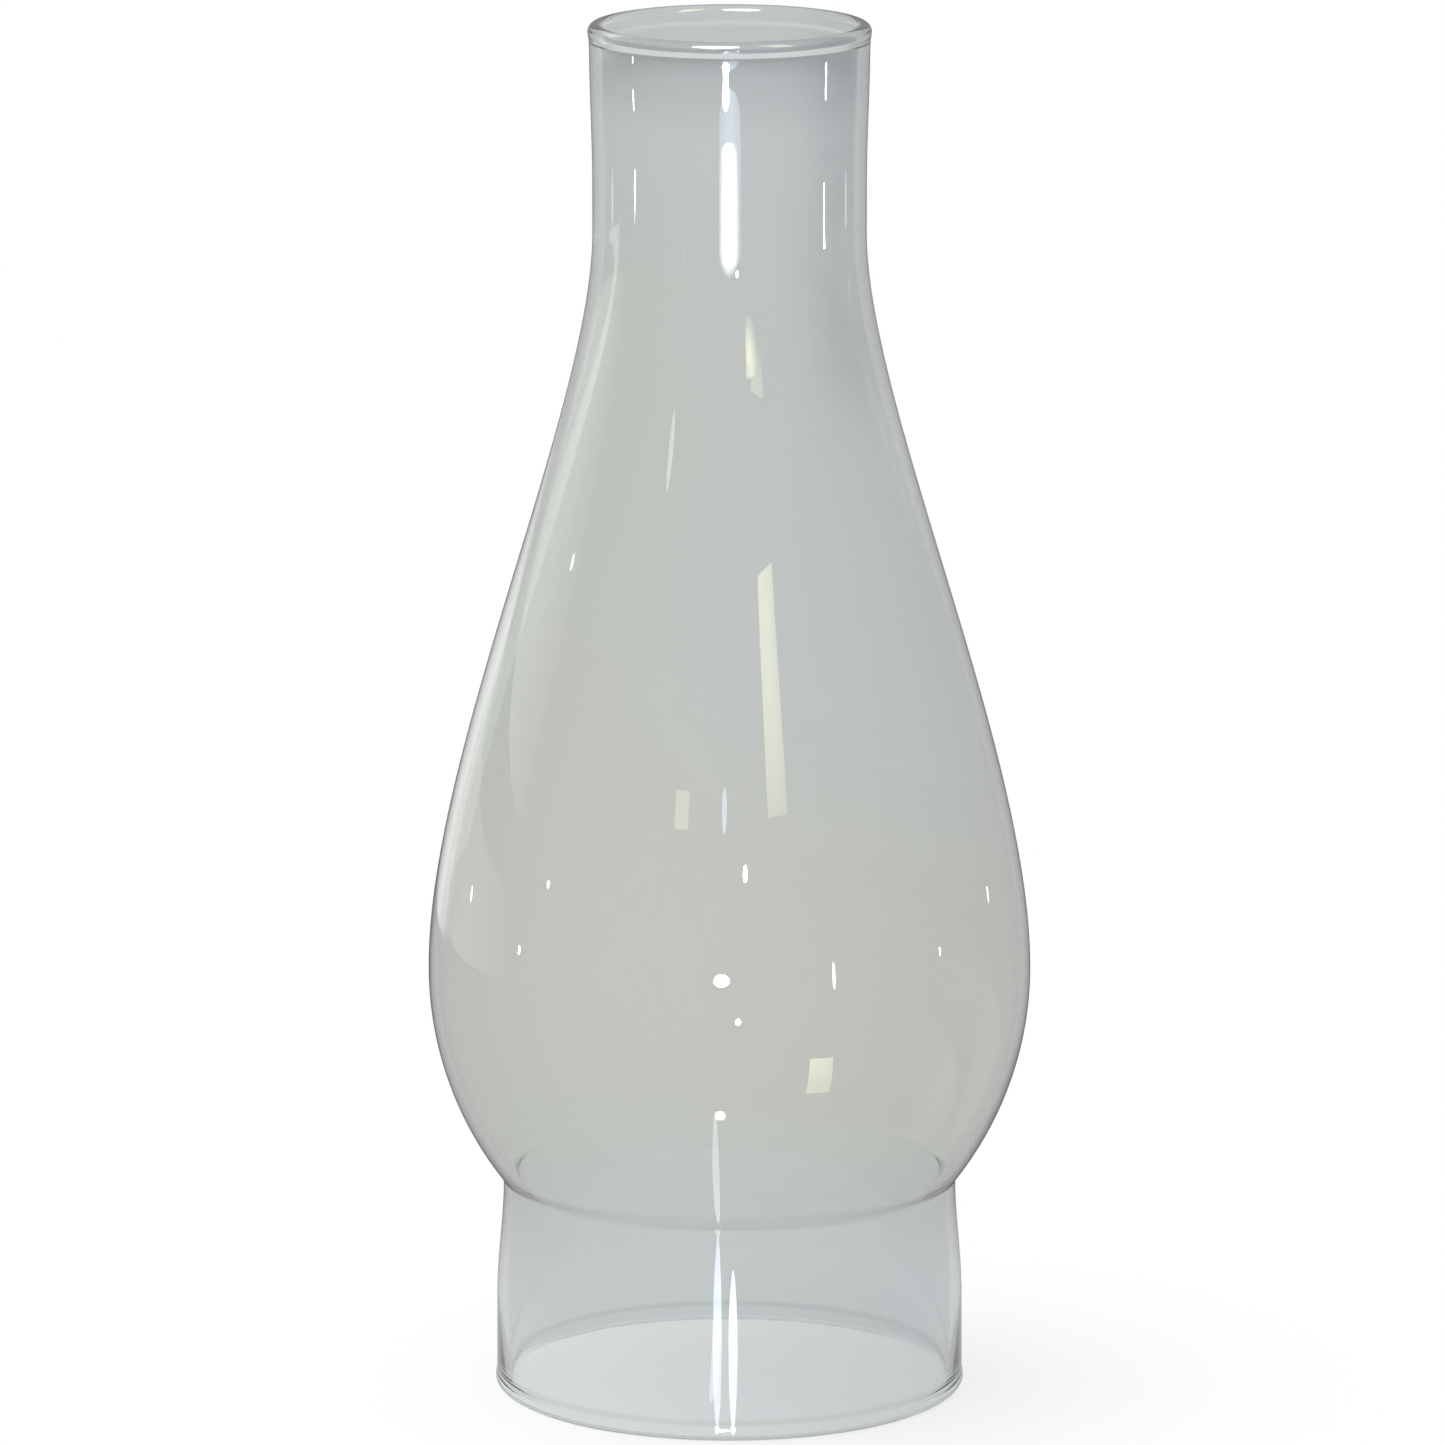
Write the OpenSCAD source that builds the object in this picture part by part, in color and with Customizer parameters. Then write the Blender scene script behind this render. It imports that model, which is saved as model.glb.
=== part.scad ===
// Glass chimney of a flat-wick oil lamp: one piece of blown clear glass, open at both ends.
// It stands on the burner's deck by its seat, and the burner's prongs grip the fitter band.
// The outline is drawn once, on the outside of the glass, as points with their outward normals.
// The wall is that outline moved in along each normal, so it keeps its true thickness everywhere.

/* [Overall] */
// Height from the seat to the top of the mouth's lip
height = 216; // [206:1:250]

/* [Fitter] */
// Outside diameter of the straight band that the burner's prongs grip
fitter_d = 73.4; // [70:0.1:80]
// Height of the top of that band above the seat
band_h = 14; // [8:0.5:20]
// Outside diameter of the waist, just under the bulb
waist_d = 71.2; // [66:0.1:76]

/* [Bulb] */
// Height at which the bulb's underside would meet the waist with no crease between them
crease_z = 33.3; // [28:0.1:38]
// Radius of the crease between waist and bulb, on the outside
crease_r = 1.4; // [0.5:0.1:4]
// Outside diameter of the bulb at its widest ring
bulb_d = 94.4; // [86:0.1:104]
// Height of the widest ring
bulb_z = 66.8; // [60:0.1:80]
// How far the bulb stays full above its widest ring before it leans in
bulb_fullness = 34; // [15:0.1:55]

/* [Neck] */
// Outside diameter of the straight neck
neck_d = 42.5; // [36:0.1:50]
// Height at which the straight neck starts
neck_z = 183.5; // [170:0.5:188]
// Length of the straight neck
neck_h = 7.5; // [4:0.5:10]
// How far below the neck the throat starts to straighten
throat_softness = 27.3; // [10:0.1:45]
// Outside diameter of the mouth, below its lip
mouth_d = 43.4; // [38:0.1:54]

/* [Glass] */
// Wall thickness in the neck, where the glass was drawn out least
neck_wall = 2; // [1.2:0.1:3]
// Wall thickness at the bulb's widest ring, where it was blown out most
bulb_wall = 1.5; // [1:0.1:3]
// How far the fire-polished lips stand proud of the wall, on the outside
lip_swell = 0.2; // [0:0.05:0.25]
// How far the base lip's bead stands proud of the wall, on the inside
base_bead = 0.2; // [0:0.05:0.25]
// How far the mouth lip's bead stands proud of the wall, on the inside
mouth_bead = 0.4; // [0:0.05:0.5]
// Height over which a lip swells out of the wall
lip_h = 1.6; // [1.2:0.1:3]
// Width of the flat ring under the base lip, on which the chimney stands
seat_w = 0.8; // [0.4:0.1:0.9]

/* [Resolution] */
// Degrees of turn for each step of an arc in the outline
arc_step = 4; // [2:1:10]
// Steps in the curve from the bulb to the neck
taper_steps = 56; // [24:4:96]
// Steps in the gentle curves of the fitter and the mouth
blend_steps = 10; // [6:1:20]
// Steps in the swell of a lip
lip_steps = 6; // [4:1:12]

/* [Hidden] */
fitter_r = fitter_d / 2;
waist_r = waist_d / 2;
bulb_r = bulb_d / 2;
neck_r = neck_d / 2;
mouth_r = mouth_d / 2;

// The bulb's underside is one arc, level at the widest ring and aimed at the waist.
under_r = (pow(bulb_r - waist_r, 2) + pow(bulb_z - crease_z, 2)) / (2 * (bulb_r - waist_r));
under_x = bulb_r - under_r;
// The crease is an arc that touches both the waist and the underside.
crease_turn = acos((waist_r + crease_r - under_x) / (under_r + crease_r));
crease_arc_z = bulb_z - (under_r + crease_r) * sin(crease_turn);

// The lips are half rounds. The base lip is cut flat where it stands.
base_lip_r = (wall_at(fitter_r) + lip_swell + base_bead) / 2;
mouth_lip_r = (wall_at(mouth_r) + lip_swell + mouth_bead) / 2;
seat_angle = asin(seat_w / 2 / base_lip_r);
base_lip_z = base_lip_r * cos(seat_angle);
mouth_lip_z = height - mouth_lip_r;
base_lip_x = fitter_r + lip_swell - base_lip_r;
mouth_lip_x = mouth_r + lip_swell - mouth_lip_r;

// A blown wall thins as the glass is taken out, from the neck to the bulb.
function wall_at(r) = bulb_wall + (neck_wall - bulb_wall) * (bulb_r - r) / (bulb_r - neck_r);

// The share of a lip's swell at a distance from it: all of it at the lip, nothing lip_h away.
function swell_by(gap) = gap < lip_h ? (1 + cos(180 * gap / lip_h)) / 2 : 0;
function base_swell(z) = swell_by(z - base_lip_z);
function mouth_swell(z) = swell_by(mouth_lip_z - z);
function outside_swell(z) = lip_swell * (base_swell(z) + mouth_swell(z));
function inside_swell(z) = base_bead * base_swell(z) + mouth_bead * mouth_swell(z);

// A station is [radius, height, the outward normal's angle above level].
function offset_station(s, out) = [s[0] + out * cos(s[2]), s[1] + out * sin(s[2])];
function outer_point(s) = offset_station(s, outside_swell(s[1]));
function inner_point(s) = offset_station(s, -wall_at(s[0]) - inside_swell(s[1]));

// An even number of steps, so that a half round has a point at its top.
function steps_for(turn) = 2 * max(2, ceil(abs(turn) / arc_step / 2));
function arc_points(x, z, r, from, to) = [
    for (n = steps_for(to - from), i = [0:n])
        let (a = from + (to - from) * i / n)
            [x + r * cos(a), z + r * sin(a)]
];

// A wall that goes smoothly from one radius to another, upright at both ends.
function blend_stations(r0, z0, r1, z1, n) = [
    for (i = [0:n])
        let (
            share = i / n,
            slope = (r1 - r0) / (z1 - z0) * 90 * PI / 180 * sin(180 * share)
        )
            [r0 + (r1 - r0) * (1 - cos(180 * share)) / 2, z0 + (z1 - z0) * share, -atan(slope)]
];

function upright_stations(r, z0, z1, n) = [for (i = [0:n]) [r, z0 + (z1 - z0) * i / n, 0]];

function crease_stations() = [
    for (n = steps_for(crease_turn), i = [1:n])
        let (a = crease_turn * i / n)
            [waist_r + crease_r * (1 - cos(a)), crease_arc_z + crease_r * sin(a), -a]
];

function underside_stations() = [
    for (n = 2 * steps_for(crease_turn), i = [1:n])
        let (a = -crease_turn * (1 - i / n))
            [under_x + under_r * cos(a), bulb_z + under_r * sin(a), a]
];

// The bulb leans in to the neck on one cubic curve, upright at both ends.
function cubic(a, b, c, d, t) =
    pow(1 - t, 3) * a + 3 * pow(1 - t, 2) * t * b + 3 * (1 - t) * t * t * c + t * t * t * d;
function cubic_slope(a, b, c, d, t) =
    3 * pow(1 - t, 2) * (b - a) + 6 * (1 - t) * t * (c - b) + 3 * t * t * (d - c);
function taper_stations() = [
    for (i = [1:taper_steps])
        let (
            t = i / taper_steps,
            z1 = bulb_z + bulb_fullness,
            z2 = neck_z - throat_softness,
            dr = cubic_slope(bulb_r, bulb_r, neck_r, neck_r, t),
            dz = cubic_slope(bulb_z, z1, z2, neck_z, t)
        )
            [cubic(bulb_r, bulb_r, neck_r, neck_r, t), cubic(bulb_z, z1, z2, neck_z, t), atan2(-dr, dz)]
];

// The outside of the glass, from the base lip to the mouth lip.
stations = concat(
    upright_stations(fitter_r, base_lip_z, base_lip_z + lip_h, lip_steps),
    blend_stations(fitter_r, band_h, waist_r, crease_arc_z, blend_steps),
    crease_stations(),
    underside_stations(),
    taper_stations(),
    blend_stations(neck_r, neck_z + neck_h, mouth_r, mouth_lip_z - lip_h, blend_steps),
    upright_stations(mouth_r, mouth_lip_z - lip_h, mouth_lip_z, lip_steps)
);
last_station = len(stations) - 1;

module wall_outline() {
    outer = [for (s = stations) outer_point(s)];
    inner = [for (i = [last_station:-1:0]) inner_point(stations[i])];
    mouth_lip = arc_points(mouth_lip_x, mouth_lip_z, mouth_lip_r, 0, 180);
    seat_inside = arc_points(base_lip_x, base_lip_z, base_lip_r, 180, 270 - seat_angle);
    seat_outside = arc_points(base_lip_x, base_lip_z, base_lip_r, 270 + seat_angle, 360);
    polygon(concat(outer, mouth_lip, inner, seat_inside, seat_outside));
}

module chimney() {
    color([0.80, 0.83, 0.82, 0.45])
        rotate_extrude($fn = 180)
            wall_outline();
}

chimney();
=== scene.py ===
"""Looks of the blown-glass chimney of a flat-wick oil lamp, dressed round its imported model.

The glass is spun from one wall outline, worked out from the glassmaker's sizes, and stands in
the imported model's own frame. The studio round it is a pale floor, a plain white surround, soft
panels, bulbs and windows some way off, and small lamps close to the glass that give it its glints.
"""
import sys
import logging
import math
from collections.abc import Iterator
from dataclasses import dataclass, field
from enum import Enum

import bmesh
import bpy
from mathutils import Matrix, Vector, noise


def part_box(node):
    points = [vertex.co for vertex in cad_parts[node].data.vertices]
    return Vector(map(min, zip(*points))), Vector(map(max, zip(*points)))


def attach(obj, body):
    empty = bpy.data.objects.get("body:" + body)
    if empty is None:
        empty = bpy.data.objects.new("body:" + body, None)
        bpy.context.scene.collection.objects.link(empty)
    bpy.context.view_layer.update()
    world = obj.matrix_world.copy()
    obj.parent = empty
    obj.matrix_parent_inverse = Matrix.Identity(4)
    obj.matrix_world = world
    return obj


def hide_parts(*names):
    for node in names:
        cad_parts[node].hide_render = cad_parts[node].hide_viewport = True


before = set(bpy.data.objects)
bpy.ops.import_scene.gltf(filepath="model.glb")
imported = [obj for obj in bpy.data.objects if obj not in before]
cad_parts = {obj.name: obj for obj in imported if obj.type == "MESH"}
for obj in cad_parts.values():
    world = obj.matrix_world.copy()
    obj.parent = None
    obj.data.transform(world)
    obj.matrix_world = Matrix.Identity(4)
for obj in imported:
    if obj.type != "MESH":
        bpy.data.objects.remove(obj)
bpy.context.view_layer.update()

log = logging.getLogger("lamp_chimney")

MM = 0.001
NODE = "chimney"
BODY = "root"

Colour = tuple[float, float, float]
Point = tuple[float, float]


# ---------------------------------------------------------------------------------------------
# The glass
# ---------------------------------------------------------------------------------------------


@dataclass(frozen=True)
class Station:
    """A point on the outside of the glass: radius, height and its outward normal's angle above level."""

    radius: float
    height: float
    lean: float

    def moved_out(self, gap: float) -> Point:
        """Returns the point that lies gap outwards along the normal."""
        return self.radius + gap * math.cos(self.lean), self.height + gap * math.sin(self.lean)


@dataclass(frozen=True)
class GlassSizes:
    """Sizes of the glass in millimetres, outside diameters and heights above the seat."""

    height: float
    bulb_d: float
    fitter_d: float = 73.4
    band_h: float = 14.0
    waist_d: float = 71.2
    crease_z: float = 33.3
    crease_r: float = 1.4
    bulb_z: float = 66.8
    bulb_fullness: float = 34.0
    neck_d: float = 42.5
    neck_z: float = 183.5
    neck_h: float = 7.5
    throat_softness: float = 27.3
    mouth_d: float = 43.4
    neck_wall: float = 2.0
    bulb_wall: float = 1.5
    lip_swell: float = 0.2
    base_bead: float = 0.2
    mouth_bead: float = 0.4
    lip_h: float = 1.6
    seat_w: float = 0.8

    @classmethod
    def from_node(cls, node: str) -> "GlassSizes":
        """Takes the height and the bulb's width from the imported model.

        Args:
            node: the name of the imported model's node.

        Returns:
            The sizes, with every other one as the glassmaker has it.
        """
        low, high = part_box(node)
        return cls(height=(high[2] - low[2]) / MM, bulb_d=(high[0] - low[0]) / MM)

    def wall_at(self, radius: float) -> float:
        """Gives the wall, which thins as the glass is blown out from the neck to the bulb.

        Args:
            radius: outside radius of the glass.

        Returns:
            The wall's thickness there.
        """
        share = (self.bulb_d / 2 - radius) / (self.bulb_d / 2 - self.neck_d / 2)
        return self.bulb_wall + (self.neck_wall - self.bulb_wall) * share


@dataclass(frozen=True)
class WallOutline:
    """The closed outline of the wall, whose inside is the outside moved in by the wall's thickness."""

    sizes: GlassSizes
    arc_step: float = math.radians(3)
    taper_steps: int = 60
    blend_steps: int = 12
    lip_steps: int = 6

    @property
    def base_lip_r(self) -> float:
        """Radius of the half round under the fitter."""
        return self._lip_r(self.sizes.fitter_d / 2, self.sizes.base_bead)

    @property
    def mouth_lip_r(self) -> float:
        """Radius of the half round on the mouth."""
        return self._lip_r(self.sizes.mouth_d / 2, self.sizes.mouth_bead)

    def _lip_r(self, radius: float, bead: float) -> float:
        """Gives the radius of the half round that closes a wall of that outside radius and inside bead."""
        return (self.sizes.wall_at(radius) + self.sizes.lip_swell + bead) / 2

    @property
    def seat_angle(self) -> float:
        """Half the angle of the base lip's round that the flat seat takes away."""
        return math.asin(self.sizes.seat_w / 2 / self.base_lip_r)

    @property
    def base_lip_z(self) -> float:
        """Height of the middle of the base lip's round."""
        return self.base_lip_r * math.cos(self.seat_angle)

    @property
    def mouth_lip_z(self) -> float:
        """Height of the middle of the mouth lip's round."""
        return self.sizes.height - self.mouth_lip_r

    def _swell(self, height: float, at_base: float, at_mouth: float) -> float:
        """Gives how far the fire-polished glass stands proud of the plain wall.

        Args:
            height: height above the seat.
            at_base: how far it does so at the base lip.
            at_mouth: how far it does so at the mouth lip.

        Returns:
            The full swell at a lip, nothing at lip_h from it, and no corner between them.
        """
        from_base, from_mouth = height - self.base_lip_z, self.mouth_lip_z - height
        gap = min(from_base, from_mouth)
        if gap >= self.sizes.lip_h:
            return 0.0
        most = at_base if from_base < from_mouth else at_mouth
        return most * (1 + math.cos(math.pi * gap / self.sizes.lip_h)) / 2

    def _outside(self, station: Station) -> Point:
        """Gives the point of the outside at a station."""
        swell = self.sizes.lip_swell
        return station.moved_out(self._swell(station.height, swell, swell))

    def _inside(self, station: Station) -> Point:
        """Gives the point of the inside at a station."""
        bead = self._swell(station.height, self.sizes.base_bead, self.sizes.mouth_bead)
        return station.moved_out(-self.sizes.wall_at(station.radius) - bead)

    def _steps(self, turn: float) -> int:
        """Gives an even number of steps for an arc of that turn."""
        return 2 * max(2, math.ceil(abs(turn) / self.arc_step / 2))

    def _arc(self, centre: Point, radius: float, start: float, end: float) -> Iterator[Point]:
        """Yields the points of an arc, both ends included.

        Args:
            centre: the arc's centre.
            radius: its radius.
            start: angle of its first point, above level.
            end: angle of its last point.

        Returns:
            The points in order.
        """
        steps = self._steps(end - start)
        for step in range(steps + 1):
            angle = start + (end - start) * step / steps
            yield centre[0] + radius * math.cos(angle), centre[1] + radius * math.sin(angle)

    def _upright(self, radius: float, low: float, high: float) -> Iterator[Station]:
        """Yields the stations of a straight band from low to high."""
        for step in range(self.lip_steps + 1):
            yield Station(radius, low + (high - low) * step / self.lip_steps, 0.0)

    def _blend(self, low: Point, high: Point) -> Iterator[Station]:
        """Yields a wall that goes smoothly from one radius to another, upright at both ends.

        Args:
            low: radius and height of its lower end.
            high: radius and height of its upper end.

        Returns:
            The stations, from the lower end up.
        """
        (low_r, low_z), (high_r, high_z) = low, high
        for step in range(self.blend_steps + 1):
            share = step / self.blend_steps
            slope = (high_r - low_r) / (high_z - low_z) * math.pi / 2 * math.sin(math.pi * share)
            radius = low_r + (high_r - low_r) * (1 - math.cos(math.pi * share)) / 2
            yield Station(radius, low_z + (high_z - low_z) * share, -math.atan(slope))

    def _bulb(self) -> Iterator[Station]:
        """Yields the fitter's blend, the crease and the bulb's underside.

        Returns:
            The stations, from the top of the fitter band up to the widest ring.
        """
        sizes = self.sizes
        waist_r, bulb_r = sizes.waist_d / 2, sizes.bulb_d / 2
        rise = sizes.bulb_z - sizes.crease_z
        under_r = ((bulb_r - waist_r) ** 2 + rise**2) / (2 * (bulb_r - waist_r))
        under_x = bulb_r - under_r
        turn = math.acos((waist_r + sizes.crease_r - under_x) / (under_r + sizes.crease_r))
        crease_z = sizes.bulb_z - (under_r + sizes.crease_r) * math.sin(turn)

        yield from self._blend((sizes.fitter_d / 2, sizes.band_h), (waist_r, crease_z))
        steps = self._steps(turn)
        for step in range(1, steps + 1):
            angle = turn * step / steps
            radius = waist_r + sizes.crease_r * (1 - math.cos(angle))
            yield Station(radius, crease_z + sizes.crease_r * math.sin(angle), -angle)
        steps = 2 * self._steps(turn)
        for step in range(1, steps + 1):
            angle = -turn * (1 - step / steps)
            radius = under_x + under_r * math.cos(angle)
            yield Station(radius, sizes.bulb_z + under_r * math.sin(angle), angle)

    def _taper(self) -> Iterator[Station]:
        """Yields the bulb's lean in to the neck, one cubic curve that is upright at both ends.

        Returns:
            The stations, from just above the widest ring up to the neck.
        """
        sizes = self.sizes
        bulb_r, neck_r = sizes.bulb_d / 2, sizes.neck_d / 2
        radii = bulb_r, bulb_r, neck_r, neck_r
        heights = (
            sizes.bulb_z,
            sizes.bulb_z + sizes.bulb_fullness,
            sizes.neck_z - sizes.throat_softness,
            sizes.neck_z,
        )
        for step in range(1, self.taper_steps + 1):
            share = step / self.taper_steps
            radius, run = self._cubic(radii, share)
            height, rise = self._cubic(heights, share)
            yield Station(radius, height, math.atan2(-run, rise))

    @staticmethod
    def _cubic(ends: tuple[float, float, float, float], share: float) -> tuple[float, float]:
        """Works out a cubic curve's value and slope.

        Args:
            ends: its start, its two handles and its end.
            share: how far along the curve, from 0 to 1.

        Returns:
            The value and the slope.
        """
        start, handle, other, end = ends
        rest = 1 - share
        value = rest**3 * start + 3 * rest**2 * share * handle
        value += 3 * rest * share**2 * other
        value += share**3 * end
        slope = 3 * rest**2 * (handle - start) + 6 * rest * share * (other - handle)
        slope += 3 * share**2 * (end - other)
        return value, slope

    def stations(self) -> list[Station]:
        """Lists the stations of the outside.

        Returns:
            The stations, from the base lip up to the mouth lip.
        """
        sizes = self.sizes
        fitter_r, neck_r, mouth_r = sizes.fitter_d / 2, sizes.neck_d / 2, sizes.mouth_d / 2
        neck_top = sizes.neck_z + sizes.neck_h
        flare_top = self.mouth_lip_z - sizes.lip_h
        return [
            *self._upright(fitter_r, self.base_lip_z, self.base_lip_z + sizes.lip_h),
            *self._bulb(),
            *self._taper(),
            *self._blend((neck_r, neck_top), (mouth_r, flare_top)),
            *list(self._upright(mouth_r, flare_top, self.mouth_lip_z))[1:],
        ]

    def points(self) -> list[Point]:
        """Lists the points of the closed outline.

        Returns:
            The outside, the mouth lip, the inside and the base lip with its flat seat, in order.
        """
        sizes = self.sizes
        stations = self.stations()
        outside = [self._outside(station) for station in stations]
        inside = [self._inside(station) for station in reversed(stations)]
        mouth_centre = (sizes.mouth_d / 2 + sizes.lip_swell - self.mouth_lip_r, self.mouth_lip_z)
        base_centre = (sizes.fitter_d / 2 + sizes.lip_swell - self.base_lip_r, self.base_lip_z)
        down = math.radians(270)
        mouth_lip = list(self._arc(mouth_centre, self.mouth_lip_r, 0, math.pi))
        seat_inside = list(self._arc(base_centre, self.base_lip_r, math.pi, down - self.seat_angle))
        seat_outside = list(self._arc(base_centre, self.base_lip_r, down + self.seat_angle, math.tau))
        return outside + mouth_lip[1:-1] + inside + seat_inside[1:] + seat_outside[:-1]


@dataclass(frozen=True)
class BlownWaves:
    """The faint waves that blowing leaves in a wall, as shifts along its radius, in millimetres.

    The outside only ever moves in, so that the glass keeps within its sizes.
    """

    broad_depth: float = 0.03
    broad_length: float = 34.0
    drawn_depth: float = 0.012
    drawn_width: float = 9.0
    drawn_length: float = 90.0
    seed: float = 4.7

    def shift(self, place: Vector, inside: bool) -> float:
        """Works out how far a point of the wall moves.

        Args:
            place: the point, in millimetres.
            inside: whether it lies on the inside of the glass.

        Returns:
            The shift outwards along the radius.
        """
        offset = Vector((self.seed, self.seed, self.seed if inside else -self.seed))
        broad = noise.noise(place / self.broad_length + offset)
        width, length = self.drawn_width, self.drawn_length
        drawn = noise.noise(Vector((place.x / width, place.y / width, place.z / length)) + offset)
        shift = self.broad_depth * broad + self.drawn_depth * drawn
        return shift if inside else shift - self.broad_depth - self.drawn_depth


@dataclass
class Chimney:
    """The chimney: one wall of blown glass, open at both ends.

    Turns is the number of steps in one round, and corners within merge_gap millimetres become one.
    """

    sizes: GlassSizes
    finish: "ClearGlass"
    waves: BlownWaves = field(default_factory=BlownWaves)
    turns: int = 256
    merge_gap: float = 0.01
    name: str = "blown_glass"

    def build(self) -> bpy.types.Object:
        """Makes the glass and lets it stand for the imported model's node.

        Returns:
            The finished object.
        """
        mesh = bpy.data.meshes.new(self.name)
        shape = self._spun_wall()
        self._blow(shape)
        shape.to_mesh(mesh)
        shape.free()
        mesh.shade_smooth()
        piece = bpy.data.objects.new(self.name, mesh)
        bpy.context.scene.collection.objects.link(piece)
        self.finish.dress(piece)
        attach(piece, BODY)
        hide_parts(NODE)
        return piece

    def _spun_wall(self) -> bmesh.types.BMesh:
        """Spins the wall's outline about the axis.

        Returns:
            The closed wall, in metres, with its faces outwards.
        """
        shape = bmesh.new()
        outline = WallOutline(self.sizes).points()
        corners = [shape.verts.new((radius * MM, 0, height * MM)) for radius, height in outline]
        sides = [shape.edges.new(pair) for pair in zip(corners, corners[1:] + corners[:1])]
        bmesh.ops.spin(
            shape, geom=corners + sides, cent=(0, 0, 0), axis=(0, 0, 1),
            angle=math.tau, steps=self.turns, use_merge=True,
        )
        bmesh.ops.remove_doubles(shape, verts=shape.verts, dist=self.merge_gap * MM)
        bmesh.ops.recalc_face_normals(shape, faces=shape.faces)
        self._unroll(shape)
        return shape

    def _unroll(self, shape: bmesh.types.BMesh) -> None:
        """Lays the wall out flat: U goes once round it, V up the outside to 1 and down the inside to 2.

        Args:
            shape: the wall, which takes the layout.
        """
        layout = shape.loops.layers.uv.new("wall")
        for face in shape.faces:
            middle = face.calc_center_median()
            inside = face.normal.x * middle.x + face.normal.y * middle.y < 0
            turn = math.atan2(middle.y, middle.x)
            for loop in face.loops:
                place = loop.vert.co
                along = math.remainder(math.atan2(place.y, place.x) - turn, math.tau)
                share = place.z / (self.sizes.height * MM)
                loop[layout].uv = (turn + along) / math.tau + 0.5, 2 - share if inside else share

    def _blow(self, shape: bmesh.types.BMesh) -> None:
        """Gives the plain wall its waves, between the lips.

        Args:
            shape: the wall, whose points are moved.
        """
        outline = WallOutline(self.sizes)
        low = outline.base_lip_z + self.sizes.lip_h
        high = outline.mouth_lip_z - self.sizes.lip_h
        for corner in shape.verts:
            place = corner.co / MM
            fade = min(1.0, max(0.0, min(place.z - low, high - place.z) / self.sizes.lip_h))
            if fade == 0.0:
                continue
            outwards = Vector((place.x, place.y, 0)).normalized()
            inside = corner.normal.dot(outwards) < 0
            corner.co += outwards * (self.waves.shift(place, inside) * fade * MM)


# ---------------------------------------------------------------------------------------------
# Shader nodes
# ---------------------------------------------------------------------------------------------


class Amount:
    """A number that varies over a surface: a node's socket on which Python's operators add Math nodes."""

    def __init__(self, tree: "ShaderTree", socket: bpy.types.NodeSocket) -> None:
        """Wraps a socket of that tree."""
        self.tree = tree
        self.socket = socket

    def _maths(self, operation: str, *terms: "Amount | float") -> "Amount":
        """Adds a Math node.

        Args:
            operation: the node's operation.
            terms: its inputs in order.

        Returns:
            The node's value.
        """
        return self.tree.amount("ShaderNodeMath", {"operation": operation}, dict(enumerate(terms)))

    def __add__(self, other: "Amount | float") -> "Amount":
        """Adds a number or an amount."""
        return self._maths("ADD", self, other)

    def __rsub__(self, other: float) -> "Amount":
        """Takes this amount away from a number."""
        return self._maths("SUBTRACT", other, self)

    def __mul__(self, other: "Amount | float") -> "Amount":
        """Multiplies by a number or an amount."""
        return self._maths("MULTIPLY", self, other)

    def either(self, other: "Amount") -> "Amount":
        """Returns the larger of two amounts."""
        return self._maths("MAXIMUM", self, other)

    def ramp(self, low: float, high: float) -> "Amount":
        """Goes smoothly from 0 at low to 1 at high.

        Args:
            low: the amount that becomes 0.
            high: the amount that becomes 1.

        Returns:
            The new amount.
        """
        sockets = {"Value": self, "From Min": low, "From Max": high}
        return self.tree.amount("ShaderNodeMapRange", {"interpolation_type": "SMOOTHSTEP"}, sockets)

    __radd__ = __add__
    __rmul__ = __mul__


Plug = Amount | bpy.types.NodeSocket | float | tuple[float, ...]


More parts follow.
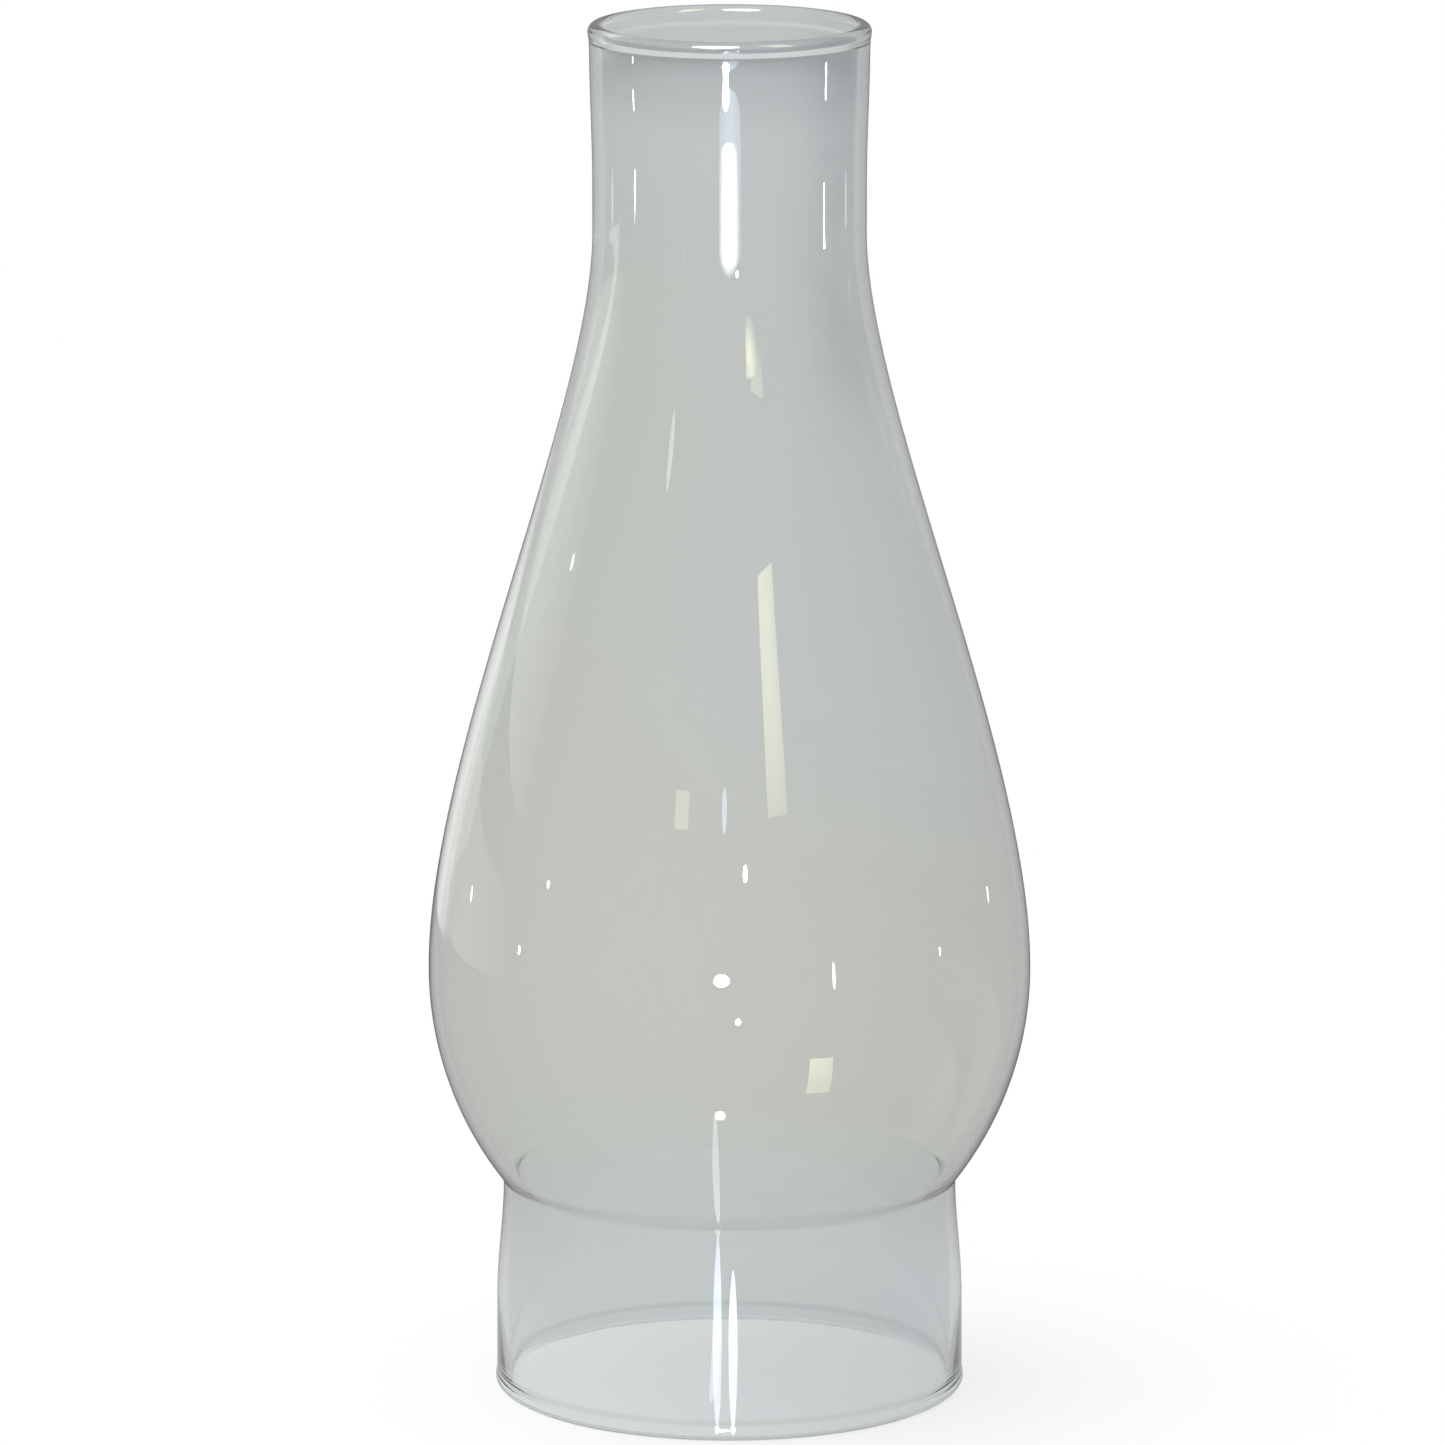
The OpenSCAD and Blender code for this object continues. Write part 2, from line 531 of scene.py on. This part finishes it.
class ShaderTree:
    """The node tree of a material or of the world, empty but for its output."""

    def __init__(self, owner: bpy.types.Material | bpy.types.World) -> None:
        """Empties the owner's tree and gives it an output.

        Args:
            owner: the material or the world.
        """
        owner.use_nodes = True
        self.tree = owner.node_tree
        self.tree.nodes.clear()
        world = isinstance(owner, bpy.types.World)
        self.output = self.add("ShaderNodeOutputWorld" if world else "ShaderNodeOutputMaterial")

    def add(
        self,
        kind: str,
        settings: dict[str, object] | None = None,
        sockets: dict[str | int, Plug] | None = None,
    ) -> bpy.types.Node:
        """Adds a node.

        Args:
            kind: the node's type.
            settings: its own settings, which are set first.
            sockets: values or links for its inputs, by name or place.

        Returns:
            The node.
        """
        node = self.tree.nodes.new(kind)
        for name, value in (settings or {}).items():
            setattr(node, name, value)
        for key, value in (sockets or {}).items():
            self.plug(node, key, value)
        return node

    def plug(self, node: bpy.types.Node, key: str | int, value: Plug) -> None:
        """Sets or links one input of a node.

        Args:
            node: the node.
            key: the input's name or place.
            value: its value, or what is linked to it.
        """
        named = [s for s in node.inputs if s.name == key and s.enabled]
        socket = node.inputs[key] if isinstance(key, int) else named[0]
        source = value.socket if isinstance(value, Amount) else value
        if isinstance(source, bpy.types.NodeSocket):
            self.tree.links.new(source, socket)
        else:
            socket.default_value = source

    def out(self, node: bpy.types.Node, name: str | None = None) -> bpy.types.NodeSocket:
        """Gives an output of a node, the first that is in use where no name is given."""
        return next(s for s in node.outputs if s.enabled and name in (None, s.name))

    def amount(
        self,
        kind: str,
        settings: dict[str, object] | None = None,
        sockets: dict[str | int, Plug] | None = None,
        output: str | None = None,
    ) -> Amount:
        """Adds a node and wraps one of its outputs.

        Args:
            kind: the node's type.
            settings: its own settings.
            sockets: values or links for its inputs.
            output: the output's name, or None for the first.

        Returns:
            That output as an amount.
        """
        return Amount(self, self.out(self.add(kind, settings, sockets), output))

    def blended(self, share: Plug, first: Plug, second: Plug, way: str = "MIX") -> bpy.types.NodeSocket:
        """Mixes two colours.

        Args:
            share: how much of the second shows, from 0 to 1.
            first: the first colour.
            second: the second colour.
            way: the Mix node's way of putting the second over the first.

        Returns:
            The mixed colour.
        """
        sockets = {"Factor": share, "A": first, "B": second}
        return self.out(self.add("ShaderNodeMix", {"data_type": "RGBA", "blend_type": way}, sockets))


def opaque(colour: Colour) -> tuple[float, float, float, float]:
    """Adds a full alpha to a colour."""
    return (*colour, 1.0)


# ---------------------------------------------------------------------------------------------
# Finishes
# ---------------------------------------------------------------------------------------------


@dataclass(frozen=True)
class GlassPlace:
    """Where a point of the glass lies, as amounts that vary over its surface, in metres."""

    point: bpy.types.NodeSocket
    aside: Amount
    behind: Amount
    height: Amount
    top: float

    @classmethod
    def on(cls, tree: ShaderTree, coordinates: bpy.types.Node, top: float) -> "GlassPlace":
        """Takes the place from a node that gives coordinates.

        Args:
            tree: the material's tree.
            coordinates: its Texture Coordinate node.
            top: height of the mouth.

        Returns:
            The place, to the right of the axis, behind it and above the seat.
        """
        point = tree.out(coordinates, "Object")
        parts = tree.add("ShaderNodeSeparateXYZ", sockets={"Vector": point})
        aside, behind, height = (Amount(tree, tree.out(parts, axis)) for axis in "XYZ")
        return cls(point, aside, behind, height, top)


@dataclass(frozen=True)
class ClearGlass:
    """Clear lamp glass with a faint tint and a painted reflection of the room, and a coat of painted shade
    that deepens where it is seen edge on.

    A tint is what is left of the light that goes through the wall once, and the coat's tint is what
    is left of light that meets the coat straight on. Lengths are in metres.
    """

    slot: str = "clear_glass"
    # The glass itself
    depth_colour: Colour = (0.2, 0.5, 0.3)
    depth_density: float = 30.0
    ior: float = 1.5
    # Its tint, with a painted reflection of the room: warm at mid height, cool at the foot, at the mouth
    # and high on the right
    warm_body_and_reflection: Colour = (0.834, 0.834, 0.803)
    cool_body_and_reflection: Colour = (0.832, 0.844, 0.862)
    warm_from: float = 0.020
    warm_to: float = 0.195
    cast_fade: float = 0.025
    side_from: float = -0.032
    side_to: float = 0.042
    side_above: float = 0.085
    # Painted shade on the right side
    right_shade_tint: Colour = (0.965, 0.965, 0.968)
    # Clouds that mix a little of one cast into the other
    cloud_size: float = 0.05
    cloud_seed: float = 6.5
    cloud_detail: float = 2.0
    cloud_thin: float = 0.35
    cloud_thick: float = 0.65
    cloud_share: float = 0.25
    # The painted shade on the right side of the neck
    neck_side_from: float = 0.008
    neck_side_to: float = 0.021
    neck_side_low: float = 0.148
    neck_side_high: float = 0.168
    neck_right_shade_tint: Colour = (0.905, 0.90, 0.905)
    # Darker all round under the mouth, and darker still on its back. Tops and feet are depths below the
    # mouth
    mouth_dim_tint: Colour = (0.91, 0.91, 0.92)
    mouth_dim_top: float = 0.008
    mouth_dim_foot: float = 0.016
    back_dim_tint: Colour = (0.81, 0.82, 0.82)
    back_dim_top: float = 0.006
    back_dim_foot: float = 0.012
    back_dim_from: float = -0.006
    back_dim_to: float = 0.006
    # The fine lines of painted shade where the lips' beads end, by the distance from each lip
    lip_shade_tint: Colour = (0.66, 0.71, 0.70)
    line_width: float = 0.0007
    mouth_line: float = 0.0028
    base_line: float = 0.0027
    # The coat of painted shade on the outside, which deepens where the glass is seen edge on, with less
    # coat and a tint of painted shade on the fitter
    shade_coat_ior: float = 1.0
    shade_coat_tint: Colour = (0.915, 0.915, 0.915)
    fitter_fade_low: float = 0.012
    fitter_fade_high: float = 0.036
    fitter_shade_coat: float = 0.45
    fitter_shade_tint: Colour = (0.965, 0.965, 0.972)
    # Where the wall's layout passes from the outside to the inside
    inside_from: float = 1.0
    inside_fade: float = 0.001

    def dress(self, piece: bpy.types.Object) -> None:
        """Puts the finish on a piece.

        Args:
            piece: the piece, whose mesh takes the material.
        """
        material = bpy.data.materials.new(self.slot)
        tree = ShaderTree(material)
        coordinates = tree.add("ShaderNodeTexCoord")
        at = GlassPlace.on(tree, coordinates, top=max(corner[2] for corner in piece.bound_box))
        glass = tree.add("ShaderNodeBsdfPrincipled", sockets={
            "Base Color": self._tint(tree, at),
            "Roughness": 0.0,
            "IOR": self.ior,
            "Transmission Weight": 1.0,
            # The coat paints shade where the glass is seen edge on
            "Coat Weight": self._painted_shade_coat(tree, coordinates, at),
            "Coat IOR": self.shade_coat_ior,
            "Coat Roughness": 0.0,
            "Coat Tint": opaque(self.shade_coat_tint),
        })
        depth = tree.add("ShaderNodeVolumeAbsorption", sockets={
            "Color": opaque(self.depth_colour),
            "Density": self.depth_density,
        })
        tree.plug(tree.output, "Surface", tree.out(glass))
        tree.plug(tree.output, "Volume", tree.out(depth))
        piece.data.materials.append(material)

    def _painted_shade_coat(self, tree: ShaderTree, coordinates: bpy.types.Node, at: GlassPlace) -> Amount:
        """Works out how much of the coat of painted shade lies on the glass.

        Args:
            tree: the material's tree.
            coordinates: its Texture Coordinate node.
            at: the place on the glass.

        Returns:
            All of it on the outside, less on the fitter, and none on the inside.
        """
        layout = tree.out(coordinates, "UV")
        unrolled = tree.amount("ShaderNodeSeparateXYZ", sockets={"Vector": layout}, output="Y")
        outside = 1 - unrolled.ramp(self.inside_from, self.inside_from + self.inside_fade)
        # Less of the coat of painted shade on the fitter
        free = at.height.ramp(self.fitter_fade_low, self.fitter_fade_high)
        return outside * (self.fitter_shade_coat + (1 - self.fitter_shade_coat) * free)

    def _tint(self, tree: ShaderTree, at: GlassPlace) -> bpy.types.NodeSocket:
        """Works out the glass's colour: its tint with painted reflection and painted shade, darker at the
        mouth, and the lips' lines of painted shade.

        Args:
            tree: the material's tree.
            at: the place on the glass.

        Returns:
            The colour that the shader takes.
        """
        side = at.aside.ramp(self.side_from, self.side_to)
        face = self._tint_and_painted_reflection(tree, at, side)
        # Painted shade on the right side
        face = tree.blended(side, face, opaque(self.right_shade_tint), "MULTIPLY")
        # Painted shade on the right side of the neck
        neck_side = at.aside.ramp(self.neck_side_from, self.neck_side_to)
        neck_side = neck_side * at.height.ramp(self.neck_side_low, self.neck_side_high)
        face = tree.blended(neck_side, face, opaque(self.neck_right_shade_tint), "MULTIPLY")
        # Darker all round under the mouth, and darker still on its back
        mouth_dim = at.height.ramp(at.top - self.mouth_dim_foot, at.top - self.mouth_dim_top)
        face = tree.blended(mouth_dim, face, opaque(self.mouth_dim_tint), "MULTIPLY")
        back_dim = at.behind.ramp(self.back_dim_from, self.back_dim_to)
        back_dim = back_dim * at.height.ramp(at.top - self.back_dim_foot, at.top - self.back_dim_top)
        face = tree.blended(back_dim, face, opaque(self.back_dim_tint), "MULTIPLY")
        # Painted shade on the fitter
        fitter_zone = 1 - at.height.ramp(self.fitter_fade_low, self.fitter_fade_high)
        face = tree.blended(fitter_zone, face, opaque(self.fitter_shade_tint), "MULTIPLY")
        # Painted shade in fine lines where the lips' beads end
        mouth_line = self._line(at.height, at.top - self.mouth_line)
        line = mouth_line.either(self._line(at.height, self.base_line))
        return tree.blended(line, face, opaque(self.lip_shade_tint))

    def _tint_and_painted_reflection(self, tree: ShaderTree, at: GlassPlace, side: Amount) -> bpy.types.NodeSocket:
        """Mixes the warm and the cool tint, whose difference is a painted reflection of the room.

        Args:
            tree: the material's tree.
            at: the place on the glass.
            side: how much the place belongs to the right side.

        Returns:
            The mixed colour.
        """
        warm = at.height.ramp(self.warm_from, self.warm_from + self.cast_fade)
        warm = warm * (1 - at.height.ramp(self.warm_to - self.cast_fade, self.warm_to))
        high_side = side * at.height.ramp(self.side_above, self.side_above + self.cast_fade)
        cool = (1 - warm).either(high_side)
        cloud = tree.amount("ShaderNodeTexNoise", {"noise_dimensions": "4D"}, {
            "Vector": at.point,
            "W": self.cloud_seed,
            "Scale": 1 / self.cloud_size,
            "Detail": self.cloud_detail,
        }).ramp(self.cloud_thin, self.cloud_thick)
        share = cool * (1 - self.cloud_share) + cloud * self.cloud_share
        return tree.blended(share, opaque(self.warm_body_and_reflection), opaque(self.cool_body_and_reflection))

    def _line(self, height: Amount, middle: float) -> Amount:
        """Gives 1 in the fine line of painted shade where a lip's bead ends, and 0 away from it."""
        low, high = middle - self.line_width, middle + self.line_width
        return height.ramp(low, middle) * (1 - height.ramp(middle, high))


@dataclass(frozen=True)
class PaleBoard:
    """The studio's matt pale board: it keeps the glass's real shadow in its matt share, and runs out to
    plain white.

    Near the glass it glows less, a painted shade round a point shade_aside metres to the right of the
    axis, which fades from near to far.
    """

    colour: Colour = (0.90, 0.90, 0.90)
    glow_near: float = 0.70
    near: float = 0.010
    far: float = 0.085
    shade_aside: float = 0.022

    def material(self) -> bpy.types.Material:
        """Makes the board's material.

        Returns:
            The material, which glows only for rays that look at it, so that it gives no extra light.
        """
        material = bpy.data.materials.new("pale_board")
        tree = ShaderTree(material)
        place = tree.out(tree.add("ShaderNodeTexCoord"), "Object")
        shade = (self.shade_aside, 0.0, 0.0)
        ends = {0: place, 1: shade}
        distance = tree.amount("ShaderNodeVectorMath", {"operation": "DISTANCE"}, ends, "Value")
        # Less glow near the glass: painted shade round a point off to the right
        glow = self.glow_near + distance.ramp(self.near, self.far) * (1 - self.glow_near)
        matt = tree.add("ShaderNodeBsdfDiffuse", sockets={"Color": opaque(self.colour)})
        white = tree.add("ShaderNodeEmission", sockets={"Strength": 1.0})
        mixed = tree.add("ShaderNodeMixShader", sockets={
            0: glow * seen_directly(tree), 1: tree.out(matt), 2: tree.out(white),
        })
        tree.plug(tree.output, "Surface", tree.out(mixed))
        return material


def seen_directly(tree: ShaderTree) -> Amount:
    """Tells rays that look at something, straight or by way of glass or gloss, from those that light it.

    Args:
        tree: the tree that asks.

    Returns:
        1 for camera, glossy and transmission rays, and 0 for others.
    """
    path = tree.add("ShaderNodeLightPath")
    kinds = ("Is Camera Ray", "Is Glossy Ray", "Is Transmission Ray")
    camera, gloss, through = (Amount(tree, tree.out(path, kind)) for kind in kinds)
    return camera.either(gloss).either(through)


# ---------------------------------------------------------------------------------------------
# The studio
# ---------------------------------------------------------------------------------------------


class LampKind(Enum):
    """What a studio lamp is: only a soft panel lights the floor, or is seen through the glass."""

    SOFT_PANEL = "panel"
    BARE_BULB = "bulb"
    LIT_WINDOW = "window"


class LampColour(Enum):
    """The colour of a lamp's light."""

    WHITE = (1.0, 1.0, 1.0)
    CREAM = (1.0, 1.0, 0.95)
    YELLOW = (1.0, 1.0, 0.6)
    NEAR_WHITE = (0.95, 0.97, 1.0)
    COOL_WHITE = (0.9, 0.95, 1.0)
    ICE_BLUE = (0.85, 0.93, 1.0)
    FLOOR_BLUE = (0.85, 0.92, 1.0)
    LIGHT_BLUE = (0.75, 0.87, 1.0)
    SKY_BLUE = (0.66, 0.82, 1.0)
    DEEP_BLUE = (0.6, 0.8, 1.0)


@dataclass(frozen=True)
class Lamp:
    """A lamp of the studio, placed by the way it lies from the point of the axis that it faces.

    That point lies as far below the middle of the glass as lower says, or above it where lower is
    negative. Azimuth is 0 towards the camera and grows to its right, and elevation grows upwards.
    Both are in degrees, as the beam is, and lengths are in metres. A narrow beam shines harder on
    its axis than the radiance says.
    """

    name: str
    kind: LampKind
    azimuth: float
    elevation: float
    distance: float
    width: float
    height: float
    radiance: float
    colour: LampColour = LampColour.WHITE
    lower: float = 0.0
    beam: float = 180.0

    def place(self, middle: Vector) -> bpy.types.Object:
        """Hangs the lamp and turns it to the glass.

        Args:
            middle: the middle of the glass.

        Returns:
            The lamp's object.
        """
        soft = self.kind is LampKind.SOFT_PANEL
        round_face = self.kind is LampKind.BARE_BULB
        light = bpy.data.lights.new(self.name, "AREA")
        light.shape = "ELLIPSE" if round_face else "RECTANGLE"
        light.size = self.width
        light.size_y = self.height
        light.color = self.colour.value
        face = self.width * self.height * (math.pi / 4 if round_face else 1.0)
        light.energy = self.radiance * math.pi * face
        light.spread = math.radians(self.beam)
        lamp = bpy.data.objects.new(self.name, light)
        lamp.visible_camera = False
        lamp.visible_diffuse = soft
        lamp.visible_transmission = soft
        azimuth, elevation = math.radians(self.azimuth), math.radians(self.elevation)
        level = math.cos(elevation)
        away = Vector((level * math.sin(azimuth), -level * math.cos(azimuth), math.sin(elevation)))
        lamp.location = middle - Vector((0, 0, self.lower)) + away * self.distance
        lamp.rotation_euler = (-away).to_track_quat("-Z", "Y").to_euler()
        bpy.context.scene.collection.objects.link(lamp)
        return lamp


@dataclass(frozen=True)
class StudioCamera:
    """A long lens some way off, looking a little down. Lengths are in metres."""

    distance: float = 1.5934
    height: float = 0.4449
    aside: float = -0.0011
    pitch: float = 12.009
    lens_mm: float = 260.04
    sensor_mm: float = 36.0
    reach: float = 50.0

    def place(self) -> bpy.types.Object:
        """Sets up the camera and makes it the scene's.

        Returns:
            The camera's object.
        """
        data = bpy.data.cameras.new("camera")
        data.sensor_fit = "HORIZONTAL"
        data.sensor_width = self.sensor_mm
        data.lens = self.lens_mm
        data.clip_end = self.reach
        camera = bpy.data.objects.new("camera", data)
        camera.location = (self.aside, -self.distance, self.height)
        camera.rotation_euler = (math.radians(90 - self.pitch), 0, 0)
        bpy.context.scene.collection.objects.link(camera)
        bpy.context.scene.camera = camera
        return camera


@dataclass
class Studio:
    """The pale floor, the white surround, the lamps and the camera. Lengths are in metres."""

    board: PaleBoard = field(default_factory=PaleBoard)
    camera: StudioCamera = field(default_factory=StudioCamera)
    floor_radius: float = 3.0
    floor_sides: int = 96
    floor_drop: float = 0.0002
    surround_light: float = 1.0
    lamps: tuple[Lamp, ...] = (
        # Soft panels behind on the left
        Lamp(
            "rear_left_panel", LampKind.SOFT_PANEL, azimuth=-152, elevation=-7.4, distance=0.45,
            width=0.24, height=0.12, radiance=0.08, beam=70,
        ),
        Lamp(
            "high_left_panel", LampKind.SOFT_PANEL, azimuth=-120, elevation=12, distance=0.50,
            width=0.50, height=0.14, radiance=0.09, beam=64,
        ),
        Lamp(
            "low_left_panel", LampKind.SOFT_PANEL, azimuth=-120, elevation=-8, distance=0.50,
            width=0.50, height=0.11, radiance=0.05, beam=64,
        ),
        # The flash low in front, and bulbs and a window some way off
        Lamp(
            "low_bulb", LampKind.BARE_BULB, azimuth=-3, elevation=-3.6, distance=0.79,
            width=0.08, height=0.03, radiance=120.0, colour=LampColour.COOL_WHITE,
        ),
        Lamp(
            "neck_glow", LampKind.BARE_BULB, azimuth=0.3, elevation=-9.2, distance=0.3,
            width=0.09, height=0.035, radiance=0.2, colour=LampColour.SKY_BLUE, lower=-0.08, beam=30,
        ),
        Lamp(
            "high_bulb", LampKind.BARE_BULB, azimuth=6, elevation=8, distance=0.4,
            width=0.012, height=0.012, radiance=120.0,
        ),
        Lamp(
            "right_bulb", LampKind.BARE_BULB, azimuth=86, elevation=-5, distance=1.1,
            width=0.02, height=0.02, radiance=120.0,
        ),
        Lamp(
            "left_bulb", LampKind.BARE_BULB, azimuth=-86, elevation=-5, distance=1.0,
            width=0.02, height=0.02, radiance=60.0,
        ),
        Lamp(
            "right_rear", LampKind.BARE_BULB, azimuth=119, elevation=-2.8, distance=1.0,
            width=0.02, height=0.02, radiance=0.08, lower=0.038, beam=10,
        ),
        Lamp(
            "left_rear", LampKind.BARE_BULB, azimuth=-119, elevation=-2.8, distance=1.0,
            width=0.02, height=0.02, radiance=0.08, lower=0.038, beam=10,
        ),
        Lamp(
            "tall_window", LampKind.LIT_WINDOW, azimuth=19.1, elevation=23.5, distance=0.325,
            width=0.042, height=0.070, radiance=0.14, colour=LampColour.YELLOW, lower=0.032, beam=26,
        ),
        # Small lamps close to the bulb of the glass, for its small glints
        Lamp(
            "front_dot", LampKind.BARE_BULB, azimuth=2.5, elevation=-5.3, distance=0.107,
            width=0.003, height=0.003, radiance=4.0, lower=0.039, beam=60,
        ),
        Lamp(
            "foot_dot", LampKind.BARE_BULB, azimuth=-2.7, elevation=-17.7, distance=0.076,
            width=0.004, height=0.004, radiance=6.0, colour=LampColour.COOL_WHITE, lower=0.054, beam=60,
        ),
        Lamp(
            "left_dot", LampKind.BARE_BULB, azimuth=-60.5, elevation=2.8, distance=0.099,
            width=0.002, height=0.002, radiance=4.0, lower=0.02, beam=60,
        ),
        Lamp(
            "blue_dot", LampKind.BARE_BULB, azimuth=-1.8, elevation=9.5, distance=0.101,
            width=0.003, height=0.010, radiance=0.9, colour=LampColour.DEEP_BLUE, lower=0.007, beam=60,
        ),
        Lamp(
            "right_dot", LampKind.BARE_BULB, azimuth=31.2, elevation=-1.2, distance=0.105,
            width=0.002, height=0.009, radiance=3.0, colour=LampColour.COOL_WHITE, lower=0.032, beam=60,
        ),
        Lamp(
            "side_window", LampKind.LIT_WINDOW, azimuth=-16.7, elevation=10.3, distance=0.12,
            width=0.010, height=0.009, radiance=0.4, colour=LampColour.YELLOW, lower=0.007, beam=60,
        ),
        Lamp(
            "low_window", LampKind.LIT_WINDOW, azimuth=27.5, elevation=-15.4, distance=0.1025,
            width=0.013, height=0.018, radiance=0.9, colour=LampColour.YELLOW, lower=0.048, beam=60,
        ),
        # Small lamps close to the neck
        Lamp(
            "neck_left", LampKind.BARE_BULB, azimuth=-105.2, elevation=-7.9, distance=0.0927,
            width=0.003, height=0.008, radiance=0.6, colour=LampColour.ICE_BLUE, lower=-0.082, beam=60,
        ),
        Lamp(
            "neck_right", LampKind.BARE_BULB, azimuth=103.8, elevation=-7.9, distance=0.0929,
            width=0.003, height=0.008, radiance=0.6, colour=LampColour.ICE_BLUE, lower=-0.082, beam=60,
        ),
        Lamp(
            "right_rod", LampKind.BARE_BULB, azimuth=1, elevation=0, distance=0.046,
            width=0.0021, height=0.026, radiance=2.0, colour=LampColour.LIGHT_BLUE, lower=0.095, beam=60,
        ),
        Lamp(
            "left_rod", LampKind.BARE_BULB, azimuth=-3.6, elevation=0, distance=0.046,
            width=0.0021, height=0.030, radiance=1.4, colour=LampColour.LIGHT_BLUE, lower=0.093, beam=60,
        ),
        Lamp(
            "neck_window", LampKind.LIT_WINDOW, azimuth=14.8, elevation=12.6, distance=0.0835,
            width=0.012, height=0.002, radiance=0.04, colour=LampColour.YELLOW, lower=-0.055, beam=12,
        ),
        Lamp(
            "neck_flash", LampKind.BARE_BULB, azimuth=-0.4, elevation=-9.2, distance=0.0815,
            width=0.032, height=0.015, radiance=0.22, colour=LampColour.COOL_WHITE, lower=-0.085, beam=16,
        ),
        Lamp(
            "left_streak", LampKind.BARE_BULB, azimuth=-34.1, elevation=18.1, distance=0.087,
            width=0.004, height=0.009, radiance=0.5, colour=LampColour.CREAM, lower=-0.037, beam=60,
        ),
        Lamp(
            "side_dot", LampKind.BARE_BULB, azimuth=-82.5, elevation=10.7, distance=0.0845,
            width=0.003, height=0.003, radiance=2.0, lower=-0.023, beam=60,
        ),
        # A rod near the floor, and a flash and a window above the lips
        Lamp(
            "floor_rod", LampKind.BARE_BULB, azimuth=-4.7, elevation=-80, distance=0.380,
            width=0.0025, height=0.056, radiance=5.0, colour=LampColour.FLOOR_BLUE, lower=-0.277,
        ),
        Lamp(
            "lip_flash", LampKind.BARE_BULB, azimuth=-14, elevation=60, distance=0.3,
            width=0.12, height=0.16, radiance=20.0, colour=LampColour.NEAR_WHITE,
        ),
        Lamp(
            "lip_window", LampKind.LIT_WINDOW, azimuth=49, elevation=60, distance=0.3,
            width=0.06, height=0.12, radiance=8.0, colour=LampColour.YELLOW,
        ),
    )

    def build(self, middle: Vector) -> None:
        """Sets up everything round the glass.

        Args:
            middle: the middle of the glass, which the lamps face.
        """
        self._floor()
        self._surround()
        for lamp in self.lamps:
            lamp.place(middle)
        self.camera.place()
        bpy.context.scene.view_settings.view_transform = "Standard"
        log.info("studio: %d lamps, floor %.1f m across", len(self.lamps), 2 * self.floor_radius)

    def _floor(self) -> None:
        """Lays the round board just under the seat."""
        shape = bmesh.new()
        bmesh.ops.create_circle(shape, cap_ends=True, radius=self.floor_radius, segments=self.floor_sides)
        bmesh.ops.translate(shape, verts=shape.verts, vec=(0, 0, -self.floor_drop))
        mesh = bpy.data.meshes.new("floor")
        shape.to_mesh(mesh)
        shape.free()
        mesh.materials.append(self.board.material())
        floor = bpy.data.objects.new("floor", mesh)
        bpy.context.scene.collection.objects.link(floor)

    def _surround(self) -> None:
        """Makes the world plain white."""
        world = bpy.data.worlds.new("surround")
        bpy.context.scene.world = world
        tree = ShaderTree(world)
        light = tree.add("ShaderNodeBackground", sockets={
            "Color": opaque((1, 1, 1)),
            "Strength": self.surround_light,
        })
        tree.plug(tree.output, "Surface", tree.out(light))


def main() -> None:
    """Builds the glass and the studio round it."""
    logging.basicConfig(level=logging.INFO, format="%(message)s", stream=sys.stdout)
    sizes = GlassSizes.from_node(NODE)
    glass = Chimney(sizes, ClearGlass()).build()
    log.info("%s: %d faces, %.1f mm tall, %.1f mm across", glass.name, len(glass.data.polygons),
             glass.dimensions.z / MM, glass.dimensions.x / MM)
    Studio().build(Vector((0, 0, sizes.height * MM / 2)))


if __name__ == "__main__":
    main()
